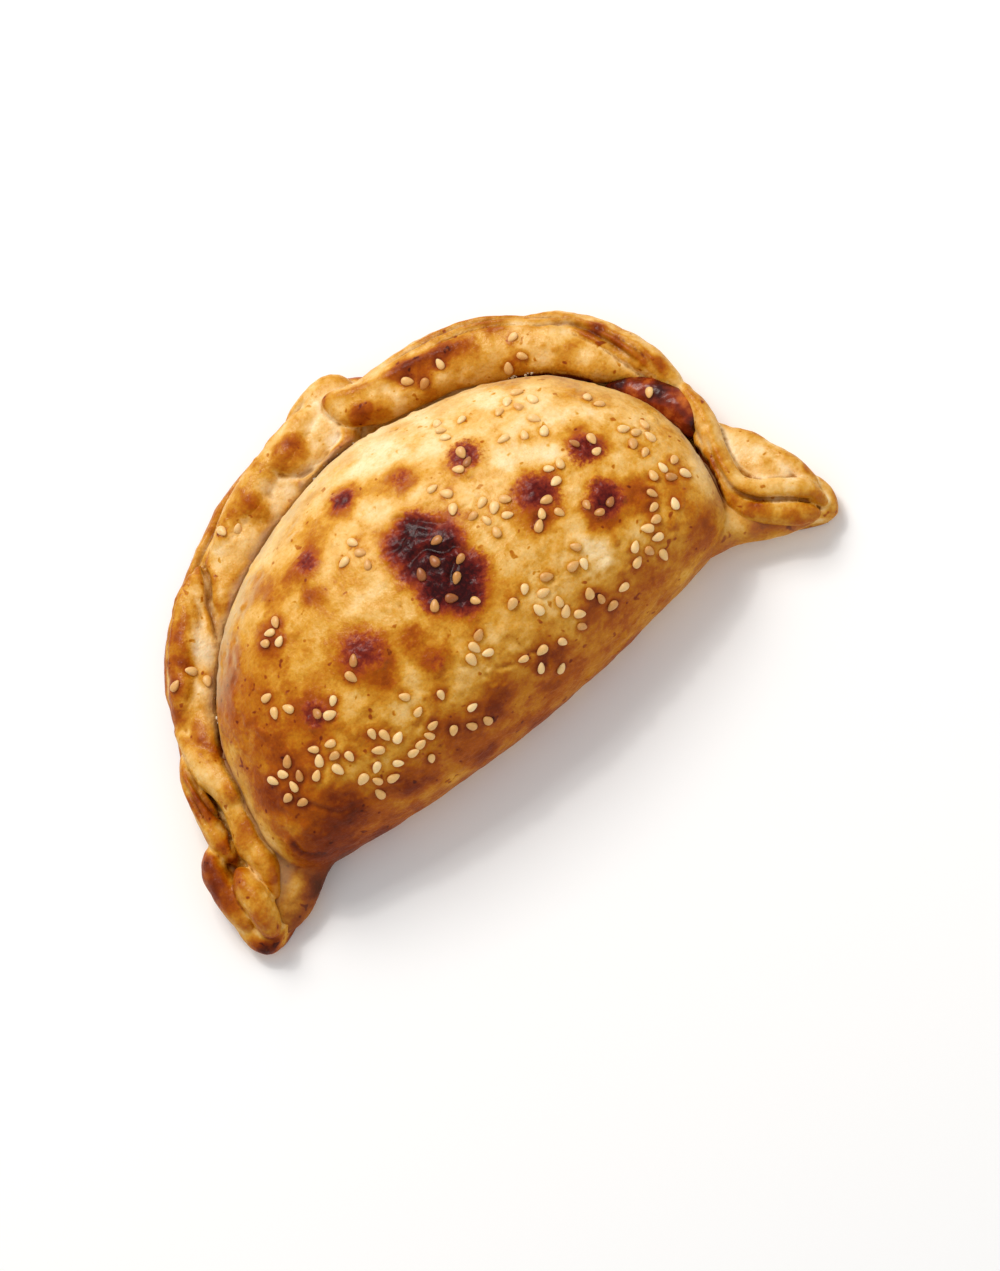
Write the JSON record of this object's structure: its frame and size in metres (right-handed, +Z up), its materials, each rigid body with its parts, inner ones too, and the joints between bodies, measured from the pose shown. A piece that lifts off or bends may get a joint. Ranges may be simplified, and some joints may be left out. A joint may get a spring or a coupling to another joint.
{
  "type": "empanada",
  "caption": "Baked half-moon pastry turnover with a plump blistered belly, a folded and twisted seam rim, pinched tails, baked-on sesame seeds and a lump of filling burst from the seam.",
  "frame": {"origin": "middle of the base, under the centre of the overall box", "axes": "+X along the straight fold from the left tail to the right tail, +Y from the fold to the curved rim, +Z up from the base"},
  "size_m": [0.1588, 0.0966, 0.0393],
  "materials": {
    "baked_crust": "egg-washed golden pastry with brown and dark scorched spots, softly glossy",
    "caramelised_filling": "dark red-brown caramelised filling, glossy"
  },
  "bodies": {
    "root": {"crust": "baked_crust", "burst_filling": "caramelised_filling"}
  },
  "joints": []
}
